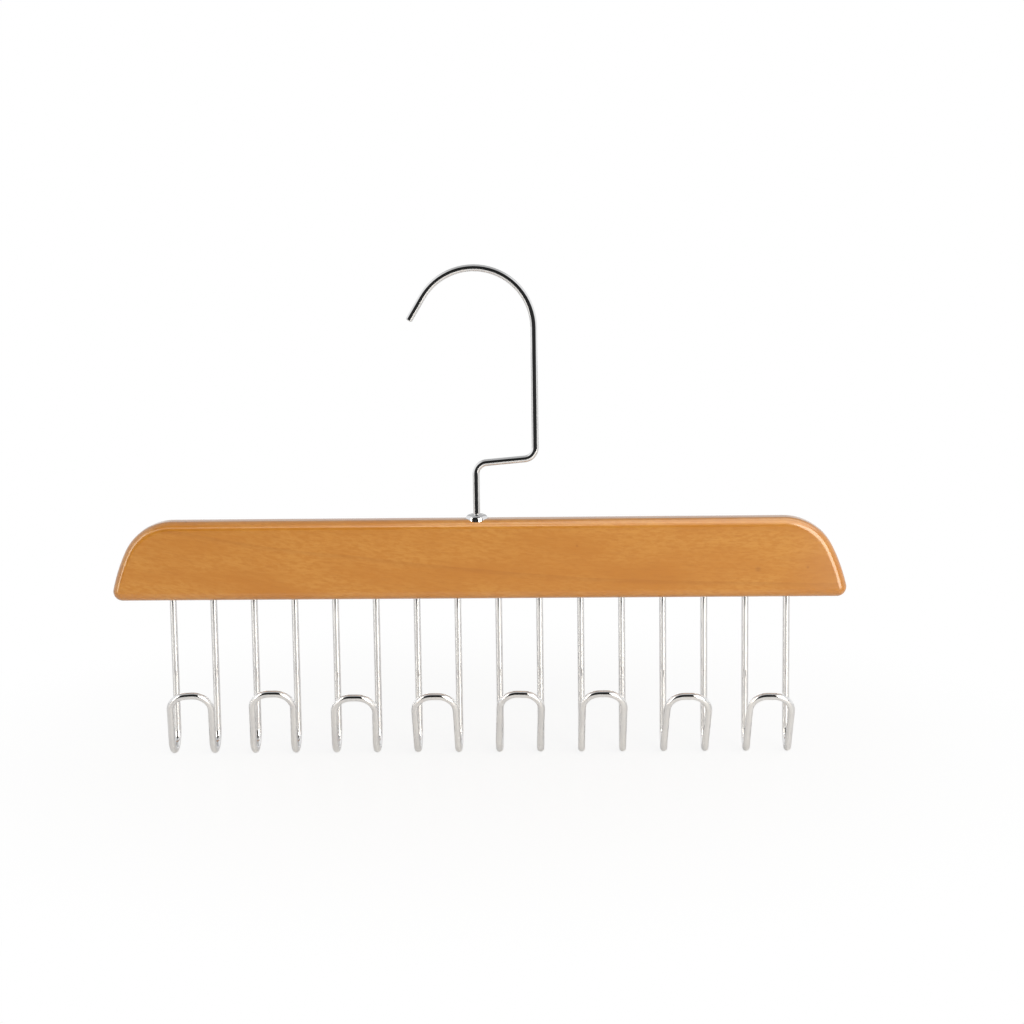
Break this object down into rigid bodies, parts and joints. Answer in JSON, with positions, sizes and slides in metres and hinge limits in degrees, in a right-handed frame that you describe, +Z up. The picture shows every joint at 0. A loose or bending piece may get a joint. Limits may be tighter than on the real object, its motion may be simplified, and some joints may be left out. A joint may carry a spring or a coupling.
{
  "type": "tie hanger",
  "caption": "Wooden tie hanger: a rounded board that turns under an offset wire hook, with bent wire hooks for ties along its underside.",
  "frame": {"origin": "the point inside the crown of the swivel hook that bears on the closet rod, on the swivel's axis", "axes": "+X along the board, towards the side on which the hook's neck stands; +Z up; the open side of the tie hooks faces -Y"},
  "size_m": [0.32, 0.0317, 0.2123],
  "materials": {
    "varnished_wood": "clear gloss varnish over pale close-grained wood",
    "chrome": "bright chrome plate on steel wire",
    "zinc_steel": "bright zinc plate",
    "brass": "stamped and tumbled"
  },
  "bodies": {
    "hook": {"swivel_hook": "chrome"},
    "board": {"board": "varnished_wood", "collar": "chrome", "sleeve": "zinc_steel", "washer": "brass", "tie_hook_1": "chrome", "tie_hook_2": "chrome", "tie_hook_3": "chrome", "tie_hook_4": "chrome", "tie_hook_5": "chrome", "tie_hook_6": "chrome", "tie_hook_7": "chrome", "tie_hook_8": "chrome"}
  },
  "joints": [
    {"name": "board_swivel", "type": "hinge", "parent": "hook", "child": "board", "pos_m": [0, 0, -0.107], "axis": [0, 0, 1], "continuous": true}
  ]
}
